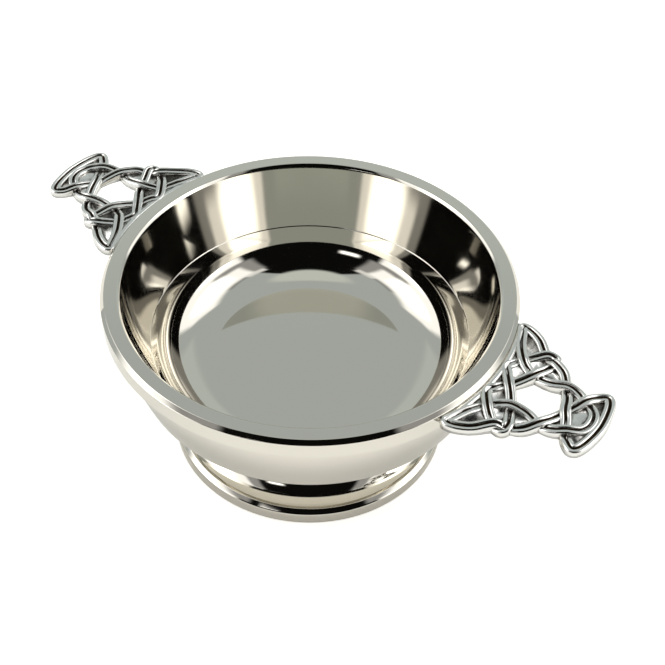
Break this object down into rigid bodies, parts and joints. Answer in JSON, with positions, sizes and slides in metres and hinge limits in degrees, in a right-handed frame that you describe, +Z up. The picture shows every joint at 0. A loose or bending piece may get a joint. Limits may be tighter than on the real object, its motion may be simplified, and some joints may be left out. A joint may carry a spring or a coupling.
{
  "type": "quaich",
  "caption": "Shallow round drinking cup with a thick flat rim, flat pierced interlace lugs to hold it by, and a low coved foot.",
  "frame": {"origin": "middle of the foot's bottom edge, on the surface the cup stands on", "axes": "+Z up along the bowl's axis, X along the two lugs"},
  "size_m": [0.1428, 0.0916, 0.0445],
  "materials": {
    "polished_pewter": "hand polished pewter",
    "cast_pewter": "cast pewter with dark oxidised recesses and rubbed bright ridges"
  },
  "bodies": {
    "root": {"bowl": "polished_pewter", "rim_band": "polished_pewter", "foot": "polished_pewter", "base_wire": "polished_pewter", "lug_right": "cast_pewter", "lug_left": "cast_pewter"}
  },
  "joints": []
}
